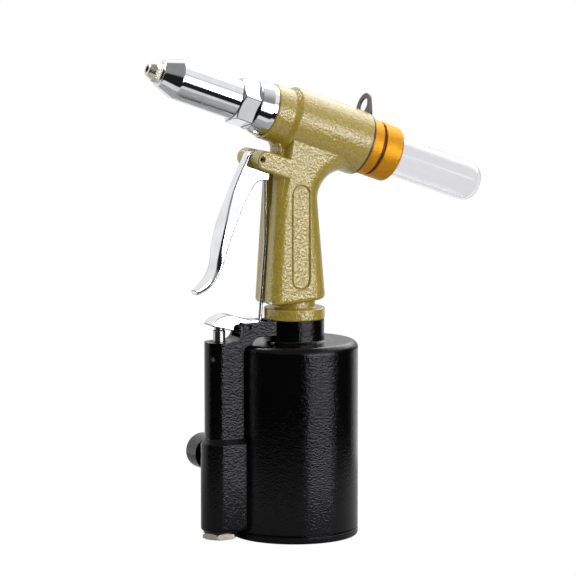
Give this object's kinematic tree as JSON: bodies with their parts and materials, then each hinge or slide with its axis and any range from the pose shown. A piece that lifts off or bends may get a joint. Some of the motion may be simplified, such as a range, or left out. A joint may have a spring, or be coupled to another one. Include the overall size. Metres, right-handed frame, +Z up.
{
  "type": "pneumatic riveter",
  "caption": "Air-hydraulic blind riveter: leaning barrel with nose and jaws, pistol grip with lever trigger, upright air cylinder with valve column, and a clear collector behind.",
  "frame": {"origin": "middle of the flat underside of the air cylinder's base, which the tool stands on", "axes": "+Z up along the air cylinder, -X towards the nose and the valve column, +Y towards the air inlet's side"},
  "size_m": [0.249, 0.0868, 0.3258],
  "materials": {
    "olive_paint": "olive-gold hammered paint on cast aluminium",
    "black_paint": "glossy black paint with a slight orange peel",
    "chrome": "bright chrome plate",
    "nickel": "nickel plate",
    "orange_anodised": "orange anodised, fine knurl",
    "clear_plastic": "clear",
    "dark_steel": "black oxide",
    "steel": "ground",
    "black_rubber": "moulded",
    "red_rubber": "moulded",
    "copper": "copper, flat",
    "aluminium": "machined casting"
  },
  "bodies": {
    "tool_body": {"body_casting": "olive_paint", "hex_adapter": "chrome", "nose_housing": "chrome", "nosepiece": "nickel", "rod_seal": "black_rubber", "hanger": "dark_steel", "end_cap": "orange_anodised", "end_cap_seal": "black_rubber", "collar_seal": "red_rubber", "oil_screw": "nickel", "oil_screw_washer": "copper", "air_cylinder": "black_paint", "guide_screw": "nickel", "bottom_cap": "black_paint", "bottom_cap_seal": "black_rubber", "bumper": "black_rubber", "gland_nut": "steel", "ram_seal": "black_rubber", "valve_guide": "dark_steel", "valve_plug": "nickel", "plug_seal": "black_rubber", "valve_spring": "steel", "air_inlet": "black_paint", "lever_pin": "dark_steel", "trigger_pin": "dark_steel", "return_spring": "steel"},
    "trigger": {"trigger": "chrome", "rod_pin": "dark_steel"},
    "rod": {"trigger_rod": "steel"},
    "lever": {"valve_lever": "chrome", "link_pin": "dark_steel"},
    "valve": {"valve_stem": "steel", "valve_seals": "black_rubber"},
    "ram": {"ram": "steel", "air_piston": "aluminium", "air_piston_seal": "black_rubber", "piston_nut": "steel"},
    "puller": {"pull_piston": "steel", "pull_piston_seals": "black_rubber", "jaw_case": "steel", "jaw_spring": "steel"},
    "upper_jaw": {"jaw_upper": "steel"},
    "far_jaw": {"jaw_far": "steel"},
    "near_jaw": {"jaw_near": "steel"},
    "pusher": {"jaw_pusher": "steel"},
    "collector": {"collector_collar": "orange_anodised", "collector_bottle": "clear_plastic", "bottle_seal": "black_rubber"}
  },
  "joints": [
    {"name": "trigger_pull", "type": "hinge", "parent": "tool_body", "child": "trigger", "pos_m": [-0.0315, 0, 0.25836], "axis": [0, -1, 0], "range_deg": [0, 17], "stiffness_Nm_per_rad": 3, "springref_deg": -14.32},
    {"name": "rod_swing", "type": "hinge", "parent": "trigger", "child": "rod", "pos_m": [-0.0214, 0, 0.24536], "axis": [0, -1, 0], "range_deg": [-19.36, 0]},
    {"name": "lever_rock", "type": "hinge", "parent": "tool_body", "child": "lever", "pos_m": [-0.0383, 0, 0.1445], "axis": [0, -1, 0], "range_deg": [0, 18.1]},
    {"name": "valve_stroke", "type": "slide", "parent": "tool_body", "child": "valve", "axis": [0, 0, -1], "range_m": [0, 0.0057], "deforming": ["valve_spring"]},
    {"name": "ram_stroke", "type": "slide", "parent": "tool_body", "child": "ram", "axis": [0, 0, 1], "range_m": [0, 0.07527], "stiffness_N_per_m": 140, "springref_m": -0.02},
    {"name": "pull_stroke", "type": "slide", "parent": "tool_body", "child": "puller", "axis": [0.9426, 0, -0.3338], "range_m": [0, 0.0161], "deforming": ["return_spring"]},
    {"name": "upper_jaw_grip", "type": "slide", "parent": "puller", "child": "upper_jaw", "axis": [-0.9863, 0, 0.165], "range_m": [0, 0.0031]},
    {"name": "far_jaw_grip", "type": "slide", "parent": "puller", "child": "far_jaw", "axis": [-0.8993, -0.1504, 0.4106], "range_m": [0, 0.0031]},
    {"name": "near_jaw_grip", "type": "slide", "parent": "puller", "child": "near_jaw", "axis": [-0.8993, 0.1504, 0.4106], "range_m": [0, 0.0031]},
    {"name": "pusher_follow", "type": "slide", "parent": "puller", "child": "pusher", "axis": [-0.9426, 0, 0.3338], "range_m": [0, 0.003], "deforming": ["jaw_spring"]},
    {"name": "collector_off", "type": "slide", "parent": "tool_body", "child": "collector", "axis": [0.9426, 0, -0.3338], "range_m": [0, 0.1]}
  ],
  "couplings": [
    {"joint": "rod_swing", "follows": "trigger_pull", "ratio": -1.1386},
    {"joint": "lever_rock", "follows": "trigger_pull", "ratio": 1.0643},
    {"joint": "valve_stroke", "follows": "trigger_pull", "m_per_rad": 0.0192},
    {"joint": "pull_stroke", "follows": "ram_stroke", "ratio": 0.21257},
    {"joint": "upper_jaw_grip", "follows": "ram_stroke", "ratio": 0.03986},
    {"joint": "far_jaw_grip", "follows": "ram_stroke", "ratio": 0.03986},
    {"joint": "near_jaw_grip", "follows": "ram_stroke", "ratio": 0.03986},
    {"joint": "pusher_follow", "follows": "ram_stroke", "ratio": 0.03925}
  ]
}
